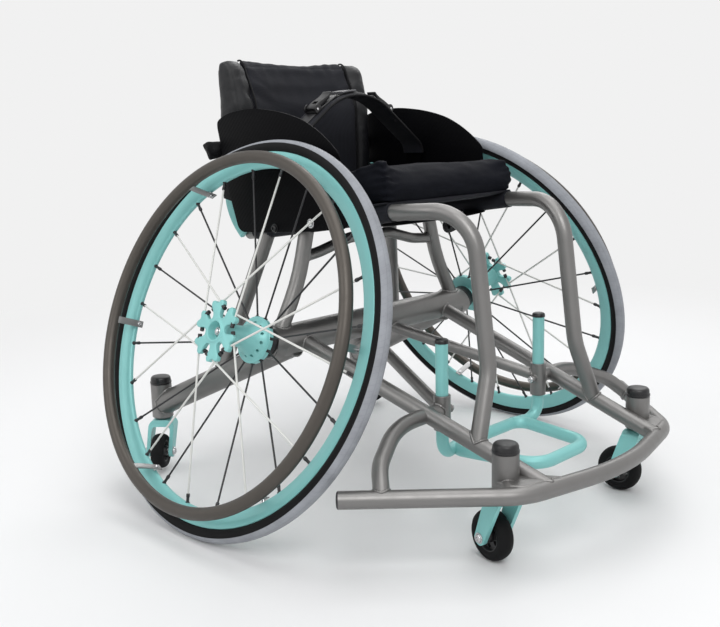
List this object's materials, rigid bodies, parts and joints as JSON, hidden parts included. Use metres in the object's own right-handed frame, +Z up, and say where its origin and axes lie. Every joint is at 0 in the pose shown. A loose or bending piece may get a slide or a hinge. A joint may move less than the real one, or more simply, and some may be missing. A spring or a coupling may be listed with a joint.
{
  "type": "wheelchair",
  "caption": "Rigid sports wheelchair with cambered spoked wheels, push rings, front bumper with side wings, casters, tubular footrest, side guards, low backrest and lap belt.",
  "frame": {"origin": "on the floor under the middle of the bounding box", "axes": "+Z up, the occupant faces -Y, +X is the occupant's left"},
  "size_m": [0.9242, 0.8447, 0.7424],
  "materials": {
    "frame_grey": "satin titanium-grey tube",
    "mint_paint": "mint powder coat, satin",
    "handrim_anodised": "brown-grey hard anodised",
    "tyre_rubber": "black sidewalls, grey tread",
    "caster_rubber": "soft black tread on a dark core",
    "white_fibre": "white fibre spokes",
    "black_fibre": "black fibre spokes",
    "black_plastic": "satin moulded plastic",
    "bright_steel": "brushed",
    "black_fabric": "woven upholstery",
    "black_webbing": "padded belt",
    "black_leather": "grained",
    "black_carbon": "matt carbon laminate"
  },
  "bodies": {
    "frame": {"axle_pin_left": "bright_steel", "axle_bush_left": "black_plastic", "axle_pin_right": "bright_steel", "axle_bush_right": "black_plastic", "caster_cap_front_left": "black_plastic", "caster_cap_front_right": "black_plastic", "caster_cap_rear_left": "black_plastic", "caster_cap_rear_right": "black_plastic", "side_frame_left": "frame_grey", "side_frame_right": "frame_grey", "camber_frame": "frame_grey", "bumper": "frame_grey", "seat_cross_tube": "frame_grey", "bumper_plug_left": "black_plastic", "bumper_plug_right": "black_plastic", "clamp_screw_left": "bright_steel", "clamp_screw_right": "bright_steel", "seat_sling": "black_fabric", "seat_cushion": "black_fabric", "backrest_panel": "black_fabric", "back_bolster_left": "black_leather", "back_bolster_right": "black_leather", "back_bracket_left": "mint_paint", "back_bracket_right": "mint_paint", "side_guard_left": "black_carbon", "side_guard_right": "black_carbon", "lap_belt": "black_webbing"},
    "wheel_left": {"main_tyre_left": "tyre_rubber", "main_rim_left": "mint_paint", "handrim_left": "handrim_anodised", "hub_left": "mint_paint", "white_spokes_left": "white_fibre", "black_spokes_left": "black_fibre", "hub_bearings_left": "bright_steel"},
    "button_left": {"release_button_left": "bright_steel"},
    "wheel_right": {"main_tyre_right": "tyre_rubber", "main_rim_right": "mint_paint", "handrim_right": "handrim_anodised", "hub_right": "mint_paint", "white_spokes_right": "white_fibre", "black_spokes_right": "black_fibre", "hub_bearings_right": "bright_steel"},
    "button_right": {"release_button_right": "bright_steel"},
    "fork_front_left": {"caster_fork_front_left": "mint_paint", "caster_bolt_front_left": "bright_steel"},
    "roller_front_left": {"caster_wheel_front_left": "caster_rubber"},
    "fork_front_right": {"caster_fork_front_right": "mint_paint", "caster_bolt_front_right": "bright_steel"},
    "roller_front_right": {"caster_wheel_front_right": "caster_rubber"},
    "fork_rear_left": {"caster_fork_rear_left": "mint_paint", "caster_bolt_rear_left": "bright_steel"},
    "roller_rear_left": {"caster_wheel_rear_left": "caster_rubber"},
    "fork_rear_right": {"caster_fork_rear_right": "mint_paint", "caster_bolt_rear_right": "bright_steel"},
    "roller_rear_right": {"caster_wheel_rear_right": "caster_rubber"},
    "footrest": {"footrest": "mint_paint", "post_cap_left": "black_plastic", "post_cap_right": "black_plastic"},
    "lever_left": {"ratchet_lever_left": "black_plastic"},
    "lever_right": {"ratchet_lever_right": "black_plastic"}
  },
  "joints": [
    {"name": "wheel_spin_left", "type": "hinge", "parent": "frame", "child": "wheel_left", "pos_m": [0.3145, 0.09368, 0.3009], "axis": [0.9379, 0, 0.3469], "continuous": true},
    {"name": "button_press_left", "type": "slide", "parent": "frame", "child": "button_left", "axis": [-0.9379, 0, -0.3469], "range_m": [0, 0.0025], "stiffness_N_per_m": 600, "springref_m": -0.002},
    {"name": "wheel_spin_right", "type": "hinge", "parent": "frame", "child": "wheel_right", "pos_m": [-0.3145, 0.09368, 0.3009], "axis": [-0.9379, 0, 0.3469], "continuous": true},
    {"name": "button_press_right", "type": "slide", "parent": "frame", "child": "button_right", "axis": [0.9379, 0, -0.3469], "range_m": [0, 0.0025], "stiffness_N_per_m": 600, "springref_m": -0.002},
    {"name": "swivel_front_left", "type": "hinge", "parent": "frame", "child": "fork_front_left", "pos_m": [0.1842, -0.33312, 0.115], "axis": [0, 0, 1], "continuous": true},
    {"name": "roll_front_left", "type": "hinge", "parent": "fork_front_left", "child": "roller_front_left", "pos_m": [0.18293, -0.30415, 0.038], "axis": [0.999, 0.0436, 0], "continuous": true},
    {"name": "swivel_front_right", "type": "hinge", "parent": "frame", "child": "fork_front_right", "pos_m": [-0.1842, -0.33312, 0.115], "axis": [0, 0, 1], "continuous": true},
    {"name": "roll_front_right", "type": "hinge", "parent": "fork_front_right", "child": "roller_front_right", "pos_m": [-0.17718, -0.30498, 0.038], "axis": [0.9703, -0.2419, 0], "continuous": true},
    {"name": "swivel_rear_left", "type": "hinge", "parent": "frame", "child": "fork_rear_left", "pos_m": [0.2605, 0.39578, 0.096], "axis": [0, 0, 1], "continuous": true},
    {"name": "roll_rear_left", "type": "hinge", "parent": "fork_rear_left", "child": "roller_rear_left", "pos_m": [0.28271, 0.37714, 0.038], "axis": [-0.6428, -0.766, 0], "continuous": true},
    {"name": "swivel_rear_right", "type": "hinge", "parent": "frame", "child": "fork_rear_right", "pos_m": [-0.2605, 0.39578, 0.096], "axis": [0, 0, 1], "continuous": true},
    {"name": "roll_rear_right", "type": "hinge", "parent": "fork_rear_right", "child": "roller_rear_right", "pos_m": [-0.28271, 0.37714, 0.038], "axis": [-0.6428, 0.766, 0], "continuous": true},
    {"name": "footrest_height", "type": "slide", "parent": "frame", "child": "footrest", "axis": [0, 0, 1], "range_m": [-0.06, 0]},
    {"name": "ratchet_left", "type": "hinge", "parent": "frame", "child": "lever_left", "pos_m": [0.09127, 0.13868, 0.64963], "axis": [0, 1, 0], "range_deg": [0, 75]},
    {"name": "ratchet_right", "type": "hinge", "parent": "frame", "child": "lever_right", "pos_m": [-0.09127, 0.13868, 0.64963], "axis": [0, -1, 0], "range_deg": [0, 75]}
  ]
}
